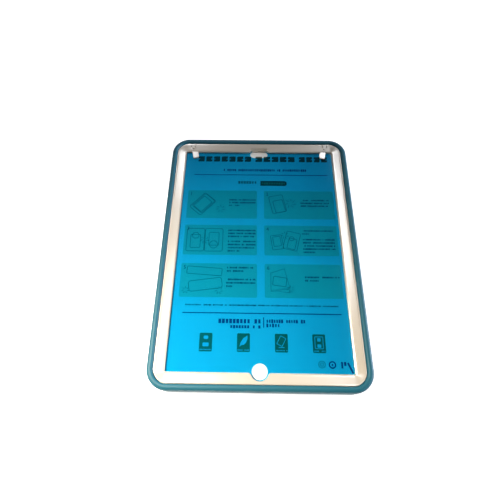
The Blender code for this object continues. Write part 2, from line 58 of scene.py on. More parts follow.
PIT_RANGE = (0.3, 0.7)


def srgb(code):
    """A hex colour as the linear values that a shader takes."""
    channels = []
    for shift in (16, 8, 0):
        value = (code >> shift & 255) / 255
        channels.append(value / 12.92 if value <= 0.04045 else ((value + 0.055) / 1.055) ** 2.4)
    return (*channels, 1.0)


def per_metre(size):
    """Texture scale at which a pattern repeats about every size millimetres."""
    return 1.0 / (size * MM)


def add(tree, kind, inputs=None, **settings):
    """Adds a node with its settings; an input takes a value or the output that feeds it."""
    node = tree.nodes.new(kind)
    for name, value in settings.items():
        setattr(node, name, value)
    for name, value in (inputs or {}).items():
        if isinstance(value, bpy.types.NodeSocket):
            tree.links.new(value, node.inputs[name])
        else:
            node.inputs[name].default_value = value
    return node


def blank_material(name):
    """An empty material, its tree, and the object's own coordinates in it."""
    material = bpy.data.materials.new(name)
    material.use_nodes = True
    material.node_tree.nodes.clear()
    return material, material.node_tree, add(material.node_tree, "ShaderNodeTexCoord").outputs["Object"]


def noise(tree, place, size, detail):
    """Noise at place that repeats about every size millimetres."""
    node = add(tree, "ShaderNodeTexNoise", {"Vector": place, "Scale": per_metre(size), "Detail": detail})
    return node.outputs["Fac"]


def blend(tree, factor, pale, deep):
    """A colour between two hex colours."""
    node = add(tree, "ShaderNodeMix", {"Factor": factor, 6: srgb(pale), 7: srgb(deep)}, data_type="RGBA")
    return node.outputs[2]


def finish(tree, surface):
    """Ends a material in the surface that it shows."""
    add(tree, "ShaderNodeOutputMaterial", {"Surface": surface.outputs[0]})


def moulded_plastic(name, pale, deep, shine, grain, relief):
    """Moulded plastic: cloudy colour from pale to deep, roughness over shine, and pits grain mm apart."""
    material, tree, place = blank_material(name)
    clouds = noise(tree, place, COLOUR_DRIFT, 3.0)
    pits = noise(tree, place, grain, 2.0)
    rough = add(tree, "ShaderNodeMapRange", {
        "Value": pits, "From Min": PIT_RANGE[0], "From Max": PIT_RANGE[1], "To Min": shine[0],
        "To Max": shine[1]})
    bump = add(tree, "ShaderNodeBump", {"Height": pits, "Strength": 1.0, "Distance": relief * MM})
    shader = add(tree, "ShaderNodeBsdfPrincipled", {
        "Base Color": blend(tree, clouds, pale, deep), "Roughness": rough.outputs["Result"],
        "Normal": bump.outputs["Normal"]})
    finish(tree, shader)
    return material, shader


def plain_mesh(name, vertices, faces):
    """A closed mesh with doubles merged and faces outwards, smooth but for its real edges."""
    mesh = bpy.data.meshes.new(name)
    mesh.from_pydata(vertices, [], faces)
    surface = bmesh.new()
    surface.from_mesh(mesh)
    bmesh.ops.remove_doubles(surface, verts=surface.verts, dist=MERGE_DISTANCE)
    bmesh.ops.recalc_face_normals(surface, faces=surface.faces)
    surface.to_mesh(mesh)
    surface.free()
    mesh.shade_smooth()
    mesh.set_sharp_from_angle(angle=SHARP_EDGE)
    return mesh


def smoothed(name, source):
    """The shape of a mesh as one smooth mesh."""
    points = [vertex.co.copy() for vertex in source.vertices]
    return plain_mesh(name, points, [tuple(face.vertices) for face in source.polygons])


def placed(name, data):
    """A new object in the scene, at the origin."""
    item = bpy.data.objects.new(name, data)
    bpy.context.scene.collection.objects.link(item)
    return item


def piece(name, mesh, material, slot, *nodes):
    """A finished piece at the origin, with its finish, the nodes that it stands for and its ride."""
    mesh.materials.clear()
    mesh.materials.append(material)
    item = placed(name, mesh)
    if nodes:
        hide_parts(*nodes)
    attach(item, "root")
    return item


# Spark-eroded polycarbonate: an even, fine matt grain with no lines of its own
shell_plastic, _ = moulded_plastic(
    "grained_polycarbonate", SHELL_WHITE, SHELL_SHADE, SHELL_ROUGHNESS, SHELL_GRAIN, SHELL_GRAIN_RELIEF)
shell_mesh = smoothed("hard_back_shell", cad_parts["back_shell"].data)
piece("hard_back_shell", shell_mesh, shell_plastic, "hard_shell", "back_shell")


# Insert card
# The printed card that keeps the tablet's place, folded from one sheet of coated board.
# Its four edges stand on the tray's floor, and its face lies right behind the clear sheet.
CARD_WHITE = 0xF4F1EA
CARD_SHADE = 0xEEEAE1
CARD_FIBRE = 0.9
CARD_RELIEF = 0.006
CARD_ROUGHNESS = 0.6


def coated_board():
    """White coated board: nearly even, with faint fibre clouds and a low eggshell shine."""
    material, tree, place = blank_material("coated_board")
    fibres = noise(tree, place, CARD_FIBRE, 4.0)
    bump = add(tree, "ShaderNodeBump", {"Height": fibres, "Distance": CARD_RELIEF * MM})
    finish(tree, add(tree, "ShaderNodeBsdfPrincipled", {
        "Base Color": blend(tree, fibres, CARD_WHITE, CARD_SHADE), "Roughness": CARD_ROUGHNESS,
        "Normal": bump.outputs["Normal"]}))
    return material


card_mesh = smoothed("folded_card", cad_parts["insert_card"].data)
piece("folded_card", card_mesh, coated_board(), "printed_card", "insert_card")


# Print on the card
# Offset ink, laid on the card's face in flat fields, rules, rows of word marks and outline figures.
# Ink has hardly any height: it is drawn a few hundredths of a millimetre thick, one coat over another.
INK_THICKNESS = 0.03 * MM
FIRST_COAT_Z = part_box("insert_card")[1].z + INK_THICKNESS
SECOND_COAT_Z = FIRST_COAT_Z + INK_THICKNESS
CURVE_STEPS = 8
INK_MOTTLE = 1.6
INK_ROUGHNESS = 0.5


def ink(name, colour):
    """Printed ink: flat colour broken up a little by the board under it, with a low shine."""
    material, tree, place = blank_material(name)
    mottle = noise(tree, place, INK_MOTTLE, 3.0)
    level = add(tree, "ShaderNodeMapRange", {"Value": mottle, "To Min": 0.94, "To Max": 1.06})
    tint = add(tree, "ShaderNodeHueSaturation", {"Value": level.outputs["Result"], "Color": srgb(colour)})
    finish(tree, add(tree, "ShaderNodeBsdfPrincipled", {
        "Base Color": tint.outputs["Color"], "Roughness": INK_ROUGHNESS}))
    return material


sand_ink = ink("sand_ink", 0xE3DAB9)
olive_ink = ink("olive_ink", 0x6C7A50)
bronze_ink = ink("bronze_ink", 0x3E4A2C)
navy_ink = ink("navy_ink", 0x2E4A78)
slate_ink = ink("slate_ink", 0x46505C)
line_ink = ink("line_ink", 0x86826E)
pale_ink = ink("pale_ink", 0xCFE0E2)
label_ink = ink("label_ink", 0x788A5C)


def rounded(left, bottom, right, top, radius, square_left=False):
    """Outline of a field with round corners, in mm; square_left keeps the left corners square."""
    points = []
    corners = ((right, top, -1, -1, 0.0), (left, top, 1, -1, 0.5), (left, bottom, 1, 1, 1.0),
               (right, bottom, -1, 1, 1.5))
    for x, y, inward_x, inward_y, start in corners:
        if square_left and inward_x > 0:
            points.append((x, y))
            continue
        for step in range(CURVE_STEPS + 1):
            angle = math.pi * (start + 0.5 * step / CURVE_STEPS)
            points.append((x + radius * (inward_x + math.cos(angle)),
                           y + radius * (inward_y + math.sin(angle))))
    return points


def turned(points, centre, degrees, scale=1.0):
    """Points (x, y) in mm, scaled and turned about the origin, then moved to centre."""
    cosine, sine = math.cos(math.radians(degrees)), math.sin(math.radians(degrees))
    return [(centre[0] + scale * (x * cosine - y * sine), centre[1] + scale * (x * sine + y * cosine))
            for x, y in points]


def round_points(centre, radius, start=0.0, end=360.0, steps=28):
    """Points (x, y) in mm round a circle, or along an arc of it."""
    points = []
    for step in range(steps + 1):
        angle = math.radians(start + (end - start) * step / steps)
        points.append((centre[0] + radius * math.cos(angle), centre[1] + radius * math.sin(angle)))
    return points[:-1] if end - start == 360.0 else points


def fields(name, outlines, top_z, material):
    """Flat fields of ink, each a closed slab under its (x, y) outline in mm."""
    vertices, faces = [], []
    for outline in outlines:
        base = len(vertices)
        count = len(outline)
        for z in (top_z - INK_THICKNESS, top_z):
            vertices += [(x * MM, y * MM, z) for x, y in outline]
        faces.append(tuple(range(base + count - 1, base - 1, -1)))
        faces.append(tuple(range(base + count, base + 2 * count)))
        for step in range(count):
            after = (step + 1) % count
            faces.append((base + step, base + after, base + count + after, base + count + step))
    return piece(name, plain_mesh(name, vertices, faces), material, "printed_card")


def maths(tree, operation, first, second):
    """What an operation makes of two values or outputs."""
    return add(tree, "ShaderNodeMath", {0: first, 1: second}, operation=operation).outputs[0]


def new_tree(name, inputs):
    """A geometry tree with named inputs after its geometry: (name, socket kind, value)."""
    tree = bpy.data.node_groups.new(name, "GeometryNodeTree")
    tree.interface.new_socket("Geometry", in_out="INPUT", socket_type="NodeSocketGeometry")
    tree.interface.new_socket("Geometry", in_out="OUTPUT", socket_type="NodeSocketGeometry")
    for label, kind, value in inputs:
        socket = tree.interface.new_socket(label, in_out="INPUT", socket_type="NodeSocket" + kind)
        if value is not None:
            socket.default_value = value
    return tree, add(tree, "NodeGroupInput").outputs


def end_tree(tree, given, geometry):
    """Ends a tree in real geometry that carries the material of its Material input."""
    real = add(tree, "GeometryNodeRealizeInstances", {"Geometry": geometry})
    dressed = add(tree, "GeometryNodeSetMaterial", {
        "Geometry": real.outputs[0], "Material": given["Material"]})
    add(tree, "NodeGroupOutput", {"Geometry": dressed.outputs[0]})
    return tree


def baked(item):
    """The plain mesh that an object's modifiers make of it."""
    bpy.context.view_layer.update()
    evaluated = item.evaluated_get(bpy.context.evaluated_depsgraph_get())
    return bpy.data.meshes.new_from_object(evaluated)


def grown(name, mesh, tree, values):
    """The plain mesh that a geometry tree makes from mesh, with the tree's inputs set by name."""
    seed = placed(name, mesh)
    change = seed.modifiers.new(name, "NODES")
    change.node_group = tree
    for entry in tree.interface.items_tree:
        if entry.in_out == "INPUT" and entry.name in values:
            change[entry.identifier] = values[entry.name]
    made = baked(seed)
    made.name = name
    bpy.data.objects.remove(seed)
    return made


def polylines(name, lines, z, closed=False):
    """A mesh of edges only, along lines of (x, y) points in mm."""
    vertices, edges = [], []
    for line in lines:
        base = len(vertices)
        vertices += [(x * MM, y * MM, z) for x, y in line]
        edges += [(base + step, base + step + 1) for step in range(len(line) - 1)]
        if closed:
            edges.append((base + len(line) - 1, base))
    mesh = bpy.data.meshes.new(name)
    mesh.from_pydata(vertices, edges, [])
    return mesh


def word_mark_tree():
    """Rows of small ink blocks, as wide and tall as letters and with gaps between words."""
    tree, given = new_tree("word_marks", (
        ("Pitch", "Float", 1.5 * MM), ("Height", "Float", 1.4 * MM), ("Narrowest", "Float", 0.55),
        ("Widest", "Float", 0.86), ("Tallest", "Float", 1.35), ("Gap share", "Float", 0.16),
        ("Seed", "Int", 1), ("Material", "Material", None)))
    rows = add(tree, "GeometryNodeMeshToCurve", {"Mesh": given["Geometry"]})
    spots = add(tree, "GeometryNodeCurveToPoints", {"Curve": rows.outputs[0], "Length": given["Pitch"]},
                mode="LENGTH")
    gaps = add(tree, "FunctionNodeRandomValue", {"Probability": given["Gap share"], "Seed": given["Seed"]},
               data_type="BOOLEAN")
    kept = add(tree, "GeometryNodeDeleteGeometry", {"Geometry": spots.outputs["Points"],
                                                    "Selection": gaps.outputs[3]}, domain="POINT")
    wide = add(tree, "FunctionNodeRandomValue", {2: given["Narrowest"], 3: given["Widest"],
                                                 "Seed": given["Seed"]})
    tall = add(tree, "FunctionNodeRandomValue", {2: 1.0, 3: given["Tallest"], "Seed": given["Seed"]})
    size = add(tree, "ShaderNodeCombineXYZ", {
        "X": maths(tree, "MULTIPLY", wide.outputs[1], given["Pitch"]),
        "Y": maths(tree, "MULTIPLY", tall.outputs[1], given["Height"]), "Z": INK_THICKNESS})
    block = add(tree, "GeometryNodeMeshCube", {"Size": (1.0, 1.0, 1.0)})
    marks = add(tree, "GeometryNodeInstanceOnPoints", {
        "Points": kept.outputs[0], "Instance": block.outputs["Mesh"], "Scale": size.outputs[0]})
    return end_tree(tree, given, marks.outputs[0])


word_marks = word_mark_tree()


def words(name, rows, pitch, height, coat_z, material, gap=0.16, tallest=1.35, seed=1):
    """Rows of word marks: each row is (left, right, y) in mm."""
    lines = [((left, y), (right, y)) for left, right, y in rows]
    seed_mesh = polylines(name, lines, coat_z - INK_THICKNESS / 2)
    made = grown(name, seed_mesh, word_marks, {
        "Pitch": pitch * MM, "Height": height * MM, "Gap share": gap, "Tallest": tallest, "Seed": seed,
        "Material": material})
    return piece(name, made, material, "printed_card")


def stroke_tree():
    """Flat strokes of ink along outlines."""
    tree, given = new_tree("ink_strokes", (("Width", "Float", 0.4 * MM), ("Material", "Material", None)))
    lines = add(tree, "GeometryNodeMeshToCurve", {"Mesh": given["Geometry"]})
    upright = add(tree, "GeometryNodeSetCurveNormal", {"Curve": lines.outputs[0]}, mode="Z_UP")
    nib = add(tree, "GeometryNodeCurvePrimitiveQuadrilateral", {
        "Width": given["Width"], "Height": INK_THICKNESS})
    drawn = add(tree, "GeometryNodeCurveToMesh", {
        "Curve": upright.outputs[0], "Profile Curve": nib.outputs[0], "Fill Caps": True})
    return end_tree(tree, given, drawn.outputs[0])


ink_strokes = stroke_tree()


def strokes(name, lines, width, coat_z, material, closed=True):
    """Outlines drawn in ink, width mm wide."""
    seed_mesh = polylines(name, lines, coat_z - INK_THICKNESS / 2, closed)
    made = grown(name, seed_mesh, ink_strokes, {"Width": width * MM, "Material": material})
    return piece(name, made, material, "printed_card")


# Six step panels in two columns, each with a figure at its left and rows of words at its right
PANEL_COLUMNS = ((-71.5, -2.0), (5.0, 74.5))
PANEL_ROWS = ((64.5, 32.0), (24.5, -7.3), (-16.0, -48.5))
PANEL_RADIUS = 1.4
panels = []
for low_y, high_y in [(bottom, top) for top, bottom in PANEL_ROWS]:
    panels += [rounded(left, low_y, right, high_y, PANEL_RADIUS) for left, right in PANEL_COLUMNS]
fields("print_step_panels", panels, FIRST_COAT_Z, sand_ink)

# Rows of words beside the figures: left edge, right edge, first row's y and length of the last row
WORD_PITCH = 1.3
WORD_HEIGHT = 1.3
ROW_PITCH = 3.3
WORD_BLOCKS = (
    (-29.0, -4.0, 53.5, 3, 9.0), (42.0, 69.0, 53.5, 3, 26.0),
    (-29.0, -4.0, 18.8, 3, 25.0), (-29.0, -4.0, 6.9, 4, 10.0),
    (42.0, 70.5, 19.0, 2, 5.0), (42.0, 71.0, 9.6, 5, 10.0),
    (-29.0, -3.5, -20.0, 2, 14.0), (-29.0, -4.0, -31.5, 3, 7.0),
    (42.0, 72.0, -28.6, 2, 11.0))
rows = []
for left, right, first_y, count, last in WORD_BLOCKS:
    for row in range(count):
        end = right if row < count - 1 else left + last
        rows.append((left, end, first_y - row * ROW_PITCH))
words("print_step_words", rows, WORD_PITCH, WORD_HEIGHT, SECOND_COAT_Z, slate_ink, gap=0.1, seed=4)

# Title row of heavy blocks, each with a short slit in one side, and under it a row of bold words and rules
TITLE_TOP = 108.0
TITLE_BOTTOM = 101.2
TITLE_SLIT = 0.9
TITLE_SLIT_SHARE = 0.24
TITLE_CLIP = 0.8
TITLE_WORDS = ((-64.0, 7, 6.6), (-3.5, 5, 7.0), (42.5, 4, 6.2))
TITLE_GAP = 1.6
middle = (TITLE_TOP + TITLE_BOTTOM) / 2
title = []
for left, count, width in TITLE_WORDS:
    for order in range(count):
        side = 1 if order % 2 else -1
        half, rise = width / 2, (TITLE_TOP - TITLE_BOTTOM) / 2
        depth, slit = half - TITLE_SLIT_SHARE * width, TITLE_SLIT / 2
        block = [(-half, -rise), (half - TITLE_CLIP, -rise), (half, TITLE_CLIP - rise), (half, -slit),
                 (depth, -slit), (depth, slit), (half, slit), (half, rise), (TITLE_CLIP - half, rise),
                 (-half, rise - TITLE_CLIP)]
        x = left + half + order * (width + TITLE_GAP)
        title.append([(x + side * across, middle + side * up) for across, up in block])
fields("print_title_blocks", title, FIRST_COAT_Z, bronze_ink)
words("print_subtitle_words", ((-36.0, 48.5, 90.3),), 1.9, 2.3, FIRST_COAT_Z, navy_ink, gap=0.1, seed=2)
RULES = ((84.2, -67.0, 71.0, 0.85), (-62.6, -67.0, 71.0, 0.9))
rules = [rounded(left, y - width / 2, right, y + width / 2, 0.2) for y, left, right, width in RULES]
rules.append(rounded(3.3, -75.0, 4.1, -66.0, 0.2))
fields("print_rules", rules, FIRST_COAT_Z, navy_ink)

# Two small headings over the panels: a faint row of words and a dark label with a round end
words("print_faint_heading", ((-20.0, -3.5, 74.8),), 2.5, 2.6, FIRST_COAT_Z, line_ink, gap=0.0, seed=3)
fields("print_label", [rounded(1.5, 70.8, 28.5, 76.8, 2.6, square_left=True)], FIRST_COAT_Z, bronze_ink)
words("print_label_marks", ((3.5, 26.0, 73.8),), 2.4, 2.4, SECOND_COAT_Z, label_ink, gap=0.0, tallest=1.1,
      seed=2)

# Fine line of words, two headings either side of the short rule, and the captions under the tiles
words("print_fine_words", ((-64.5, 68.5, -55.5),), 1.15, 1.05, FIRST_COAT_Z, slate_ink, gap=0.13, seed=6)
words("print_heading_words", ((-34.0, 0.0, -69.6),), 2.9, 3.3, FIRST_COAT_Z, navy_ink, gap=0.08, tallest=1.2,
      seed=14)
words("print_heading_words_small", ((-24.0, 0.0, -74.4),), 2.3, 2.1, FIRST_COAT_Z, navy_ink, gap=0.1, seed=5)
words("print_motto_words", ((6.8, 38.5, -69.3), (6.8, 16.5, -73.0)), 2.0, 2.4, FIRST_COAT_Z, navy_ink,
      gap=0.1, seed=8)

# Four tiles with pale figures of their own: a held slab, a leaf, a slab on its corner and a slab on a stand
TILE_LEFTS = (-50.5, -18.8, 13.0, 44.5)
TILE_WIDTH = 10.8
TILE_TOP = -80.0
TILE_BOTTOM = -95.4
tiles = [rounded(left, TILE_BOTTOM, left + TILE_WIDTH, TILE_TOP, 1.0) for left in TILE_LEFTS]
fields("print_tiles", tiles, FIRST_COAT_Z, olive_ink)
TILE_MIDDLE_Y = (TILE_TOP + TILE_BOTTOM) / 2 + 1.0
centres = [(left + TILE_WIDTH / 2, TILE_MIDDLE_Y) for left in TILE_LEFTS]
LEAF = [(-3.4, -4.6), (-2.6, -1.2), (-0.2, 2.6), (3.4, 5.0), (3.2, 1.6), (2.2, -1.0), (0.4, -2.8),
        (-1.8, -3.2)]
pale_fields = [turned(rounded(-2.6, -4.6, 2.6, -1.4, 0.8), centres[0], 0.0),
               turned(rounded(-2.0, 1.4, 2.0, 4.4, 1.3), centres[0], 0.0),
               turned(LEAF, centres[1], 0.0),
               turned(rounded(-2.4, -5.0, 2.4, -4.3, 0.3), centres[2], 0.0),
               turned(rounded(-1.6, -4.4, 1.6, -1.6, 0.6), centres[3], 0.0),
               turned(rounded(-1.4, 0.6, 1.4, 3.6, 0.6), centres[3], 0.0)]
fields("print_tile_figures", pale_fields, SECOND_COAT_Z, pale_ink)
pale_lines = [turned(rounded(-2.5, -3.7, 2.5, 3.7, 0.5), (centres[2][0], centres[2][1] + 0.6), -27.0),
              turned(rounded(-3.4, -5.2, 3.4, 4.6, 0.6), centres[3], 0.0)]
strokes("print_tile_outlines", pale_lines, 0.55, SECOND_COAT_Z, pale_ink)
captions = [(left + 1.0, left + TILE_WIDTH - 1.0, TILE_BOTTOM + 1.5) for left in TILE_LEFTS]
words("print_tile_captions", captions, 1.0, 0.8, SECOND_COAT_Z, pale_ink, gap=0.08, tallest=1.1, seed=7)

# Plain round marks, a block and a slanted bar in the lower right corner
FAINT_MARK = (51.0, -104.5)
ROUND_MARK = (59.5, -104.7)
strokes("print_faint_rings", [round_points(FAINT_MARK, 2.7), round_points(FAINT_MARK, 1.3)], 0.5,
        FIRST_COAT_Z, line_ink)
strokes("print_ring", [round_points(ROUND_MARK, 2.5)], 1.1, FIRST_COAT_Z, navy_ink)
marks = [round_points(ROUND_MARK, 0.8), rounded(66.6, -107.4, 68.2, -102.2, 0.5),
         rounded(69.0, -105.4, 70.9, -102.2, 0.5),
         turned(rounded(-0.75, -4.6, 0.75, 4.6, 0.5), (74.0, -107.0), 24.0)]
fields("print_blocks", marks, FIRST_COAT_Z, navy_ink)

# Faint outline figures of the steps: slabs, sleeves and frames seen from a corner
SLAB = rounded(-11.0, -7.6, 11.0, 7.6, 1.6)
NARROW_SLAB = rounded(-7.0, -10.0, 7.0, 10.0, 1.4)
figure_lines = [
    turned(SLAB, (-56.0, 48.5), 48.0), turned(SLAB, (-55.2, 49.3), 48.0, 0.86),
    turned(NARROW_SLAB, (18.5, 49.0), 12.0), turned(NARROW_SLAB, (20.0, 46.5), 14.0, 0.7),
    turned(NARROW_SLAB, (-60.5, 8.5), 0.0, 1.2), turned(NARROW_SLAB, (-43.0, 8.5), 0.0, 1.2),
    round_points((-60.5, 13.0), 3.2), round_points((-43.0, 3.5), 3.8),
    turned(NARROW_SLAB, (17.0, 6.5), 8.0, 0.75), turned(NARROW_SLAB, (31.0, 8.0), -14.0, 0.95),
    round_points((31.0, 10.5), 2.2), turned(rounded(-16.0, -3.6, 16.0, 3.6, 1.0), (-50.0, -23.5), -4.0),
    turned(rounded(-15.0, -5.0, 15.0, 5.0, 2.4), (-48.5, -36.5), 8.0),
    turned([(-7.5, -10.5), (9.5, -7.5), (5.0, 11.5), (-7.5, 7.0)], (18.0, -32.0), 0.0),
    turned([(-7.5, -10.5), (9.5, -12.5), (9.5, -7.5)], (18.0, -31.0), 0.0)]
INNER_SLABS = (((-56.0, 48.5), 48.0, 0.7), ((-60.5, 7.0), 90.0, 0.62), ((-43.0, 9.5), 90.0, 0.62),
               ((17.0, 7.5), 98.0, 0.46), ((31.0, 5.0), 76.0, 0.5), ((18.5, -33.0), -8.0, 0.55))
figure_lines += [turned(SLAB, centre, degrees, scale) for centre, degrees, scale in INNER_SLABS]
strokes("print_step_figures", figure_lines, 0.5, SECOND_COAT_Z, line_ink)

# Short ticks round the figures, which stand for the parts that are pressed, folded or pulled
ticks = []
for middle_x, middle_y, reach in ((-38.0, 43.0, 4.5), (31.5, 50.0, 5.5), (-51.8, 8.5, 4.0), (24.5, 14.0, 4.0),
                                  (-66.0, -42.0, 3.4), (-36.0, -42.0, 3.8), (28.0, -40.0, 3.6)):
    for step in range(7):
        angle = math.radians(25.0 + 51.0 * step)
        start = (middle_x + 0.45 * reach * math.cos(angle), middle_y + 0.45 * reach * math.sin(angle))
        end = (middle_x + reach * math.cos(angle + 0.3), middle_y + reach * math.sin(angle + 0.3))
        ticks.append([start, end])
strokes("print_step_ticks", ticks, 0.45, SECOND_COAT_Z, line_ink, closed=False)

# Plain step numbers, 1 to 6, along each row of panels in turn
NUMBER_SIZE = 5.0
numbers = bmesh.new()
for order in range(6):
    left, _ = PANEL_COLUMNS[order % 2]
    top, _ = PANEL_ROWS[order // 2]
    writing = bpy.data.curves.new("print_number", "FONT")
    writing.body = str(order + 1)
    writing.size = NUMBER_SIZE * MM
    writing.extrude = INK_THICKNESS / 2
    writing.resolution_u = 3
    holder = bpy.data.objects.new("print_number", writing)
    digit = bpy.data.meshes.new_from_object(holder)
    move = Vector(((left + 2.0) * MM, (top - 5.6) * MM, SECOND_COAT_Z - INK_THICKNESS / 2))
    for vertex in digit.vertices:
        vertex.co += move
    numbers.from_mesh(digit)
    bpy.data.objects.remove(holder)
number_mesh = bpy.data.meshes.new("print_step_numbers")
bmesh.ops.remove_doubles(numbers, verts=numbers.verts, dist=MERGE_DISTANCE)
numbers.to_mesh(number_mesh)
numbers.free()
piece("print_step_numbers", number_mesh, slate_ink, "printed_card")


# Clear sheet and its tape
# The touch-through screen sheet, die-cut from clear polyester, and the black tape ring that holds it.
# The film lies flat on the sheet, so the sheet's own face hardly mirrors anything.
SHEET_TINT = 0xFBFDFD
SHEET_IOR = 1.12
SHEET_ROUGHNESS = (0.03, 0.08)
SHEET_STREAK = 9.0
SHEET_WAVE = 14.0
SHEET_WAVE_RELIEF = 0.01
STREAK_STRETCH = 0.12
TAPE_BLACK = 0x1B1B1C
TAPE_SHADE = 0x121213
TAPE_ROUGHNESS = (0.7, 0.9)
TAPE_SPECULAR = 0.3
TAPE_GRAIN = 0.3
TAPE_GRAIN_RELIEF = 0.03


def clear_layer(name, pale, deep, streak, shine, ior, wave, relief):
    """A clear layer: light passes it tinted from pale to deep, under a gloss on its outer side only."""
    material, tree, place = blank_material(name)
    drawn = add(tree, "ShaderNodeMapping", {"Vector": place, "Scale": (1.0, STREAK_STRETCH, 1.0)})
    streaks = noise(tree, drawn.outputs[0], streak, 3.0)
    clear = add(tree, "ShaderNodeBsdfTransparent", {"Color": blend(tree, streaks, pale, deep)})
    bump = add(tree, "ShaderNodeBump", {"Height": noise(tree, place, wave, 1.0), "Distance": relief * MM})
    rough = add(tree, "ShaderNodeMapRange", {"Value": streaks, "To Min": shine[0], "To Max": shine[1]})
    gloss = add(tree, "ShaderNodeBsdfGlossy", {
        "Roughness": rough.outputs["Result"], "Normal": bump.outputs["Normal"]})
    mirror = add(tree, "ShaderNodeFresnel", {"IOR": ior})
    inner = add(tree, "ShaderNodeNewGeometry").outputs["Backfacing"]
    share = maths(tree, "MULTIPLY", mirror.outputs[0], maths(tree, "SUBTRACT", 1.0, inner))
    finish(tree, add(tree, "ShaderNodeMixShader", {0: share, 1: clear.outputs[0], 2: gloss.outputs[0]}))
    return material


def dress(node, material):
    """Gives a node that stays its finish."""
    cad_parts[node].data.materials.clear()
    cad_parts[node].data.materials.append(material)


dress("screen_protector", clear_layer("clear_polyester", SHEET_TINT, SHEET_TINT, SHEET_STREAK,
                                      SHEET_ROUGHNESS, SHEET_IOR, SHEET_WAVE, SHEET_WAVE_RELIEF))
# Foamed acrylic: black and matt, with a fine open grain
tape_foam, tape_shader = moulded_plastic(
    "foamed_acrylic", TAPE_BLACK, TAPE_SHADE, TAPE_ROUGHNESS, TAPE_GRAIN, TAPE_GRAIN_RELIEF)
tape_shader.inputs["Specular IOR Level"].default_value = TAPE_SPECULAR
dress("protector_tape", tape_foam)


# Blue film
# The peel-off film that keeps scratches off the clear sheet: blue polyethylene, die-cut with it.
# It takes out nearly all red light, and its thickness drifts in soft streaks from the rolling.
FILM_TINT = 0x84E5F9
FILM_TINT_DEEP = 0x80E2F8
FILM_ROUGHNESS = (0.03, 0.07)
FILM_STREAK = 5.0
FILM_WAVE = 14.0
FILM_WAVE_RELIEF = 0.01
FILM_IOR = 1.4
dress("protective_film", clear_layer("tinted_release_film", FILM_TINT, FILM_TINT_DEEP, FILM_STREAK,
                                     FILM_ROUGHNESS, FILM_IOR, FILM_WAVE, FILM_WAVE_RELIEF))


# Front frame
# The hard white frame that snaps over the tray and holds the clear sheet, moulded in one piece.
# Its face slopes down to the screen, with two canted tabs, two U-shaped dimples and two notches.
FILM_EDGE_GAP = 0.35 * MM
frame_low, frame_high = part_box("front_frame")
FRAME_OUT = 3.0 * MM
CAVITY_X = frame_high.x - FRAME_OUT
CAVITY_Y = frame_high.y - FRAME_OUT
CAVITY_RADIUS = 11.4 * MM
OPENING_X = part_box("protective_film")[1].x + FILM_EDGE_GAP
OPENING_Y = 112.2 * MM
OPENING_RADIUS = 1.2 * MM
FRAME_EDGE = 0.55 * MM
SKIRT_IN = 1.8 * MM
FRAME_UNDER_Z = 11.95 * MM
FRAME_INNER_Z = 13.32 * MM
FRAME_REBATE_Z = 13.12 * MM
FRAME_TOP_Z = frame_high.z
FRAME_SKIRT_Z = frame_low.z
FRAME_INNER_BREAK = 0.25 * MM
FRAME_OUTER_BREAK = 0.45 * MM
CUT_MARGIN = 2.0 * MM
WALL_OVERLAP = 0.15 * MM
CORNER_STEPS = 26
RUN_SHARES = (0.004, 0.02, 0.1, 0.3, 0.5, 0.7, 0.9, 0.98, 0.996)
FACE_STEPS = 5
EDGE_STEPS = 4
NOTCH_STEPS = 40
HOME_Y = -111.0 * MM
HOME_NOTCH_RADIUS = 7.7 * MM
HOME_SHOULDER = 2.6 * MM
CAMERA_NOTCH_DEPTH = 2.0 * MM
CAMERA_NOTCH_HALF = 8.2 * MM
CAMERA_NOTCH_FLARE = 2.4 * MM
CAMERA_BEVEL = 2.4 * MM
CAMERA_BEVEL_DEPTH = 0.9 * MM
CAMERA_BEVEL_FLARE = 0.8 * MM


def rounded_ring(half_x, half_y, radius, z):
    """A rounded rectangle round the origin, anticlockwise and in metres, close set near its corners."""
    points = []
    for sign_x, sign_y, start in ((1, 1, 0.0), (-1, 1, 0.5), (-1, -1, 1.0), (1, -1, 1.5)):
        corner = []
        for step in range(CORNER_STEPS + 1):
            angle = math.pi * (start + 0.5 * step / CORNER_STEPS)
            corner.append(Vector((sign_x * (half_x - radius) + radius * math.cos(angle),
                                  sign_y * (half_y - radius) + radius * math.sin(angle), z)))
        if points:
            points += [Vector(points[-1]).lerp(corner[0], share) for share in RUN_SHARES]
        points += corner
    points += [Vector(points[-1]).lerp(points[0], share) for share in RUN_SHARES]
    return [tuple(point) for point in points]


def skinned(name, rings, closed=False):
    """Skins rings of equal length; closed joins the last to the first, or else the ends are capped."""
    count = len(rings[0])
    vertices = [point for ring in rings for point in ring]
    faces = []
    for span in range(len(rings) if closed else len(rings) - 1):
        low, high = span * count, (span + 1) % len(rings) * count
        for step in range(count):
            after = (step + 1) % count
            faces.append((low + step, low + after, high + after, high + step))
    if not closed:
        faces.append(tuple(reversed(range(count))))
        faces.append(tuple(range(len(vertices) - count, len(vertices))))
    return plain_mesh(name, vertices, faces)


def slab(name, points, low, high):
    """A flat outline of (x, y) points in metres, carried straight up from low to high."""
    return skinned(name, [[(x, y, low) for x, y in points], [(x, y, high) for x, y in points]])


def cut(mesh, tools, joined=()):
    """The mesh with some tools joined on and the others cut away."""
    body = placed(mesh.name, mesh)
    helpers = []
    for tool, operation in [(t, "UNION") for t in joined] + [(t, "DIFFERENCE") for t in tools]:
        helpers.append(placed(tool.name, tool))
        change = body.modifiers.new(tool.name, "BOOLEAN")
        change.operation = operation
        change.solver = "EXACT"
        change.object = helpers[-1]
    made = baked(body)
    for helper in helpers + [body]:
        bpy.data.objects.remove(helper)
    return smoothed(mesh.name, made)


